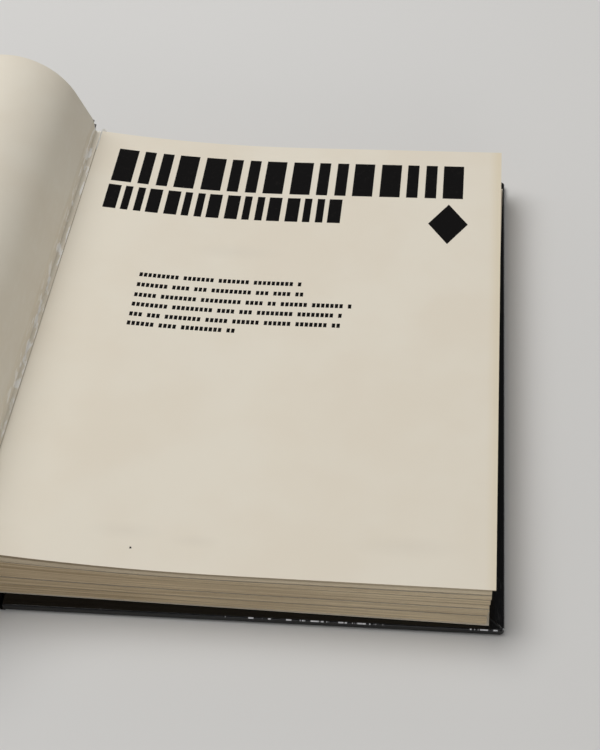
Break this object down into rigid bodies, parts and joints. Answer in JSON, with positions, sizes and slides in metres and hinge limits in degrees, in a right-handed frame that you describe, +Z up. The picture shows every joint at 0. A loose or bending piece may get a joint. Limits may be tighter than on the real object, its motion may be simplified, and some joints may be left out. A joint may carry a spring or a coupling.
{
  "type": "case-bound hardcover book, lying open",
  "caption": "Case-bound hardcover book lying on its back cover, open at its first printed page, with hinged covers and a raised front flyleaf.",
  "frame": {"origin": "centre of the back cover's outer face, which rests on the table", "axes": "+X from the spine to the fore edge of the leaves, +Y from tail to head, +Z up from the table"},
  "size_m": [0.3452, 0.2202, 0.0662],
  "materials": {
    "leaves": "matte",
    "endpaper": "matte",
    "board": "matte",
    "covering": "gloss",
    "gauze": "matte",
    "lining": "matte",
    "band": "matte"
  },
  "bodies": {
    "book_block": {"text_block": "leaves", "spine_mull": "gauze", "spine_lining": "lining", "head_band": "band", "tail_band": "band", "spine_board": "board", "spine_covering": "covering"},
    "front_cover": {"front_board": "board", "front_covering": "covering", "front_endpaper": "endpaper"},
    "back_cover": {"back_board": "board", "back_covering": "covering", "back_endpaper": "endpaper"}
  },
  "joints": [
    {"name": "front_cover_hinge", "type": "hinge", "parent": "book_block", "child": "front_cover", "pos_m": [-0.08695, 0, 0.03165], "axis": [0, 1, 0], "range_deg": [0, 192.4], "deforming": ["front_endpaper"]},
    {"name": "back_cover_hinge", "type": "hinge", "parent": "book_block", "child": "back_cover", "pos_m": [-0.08695, 0, 0], "axis": [0, 1, 0], "range_deg": [0, 165]}
  ]
}
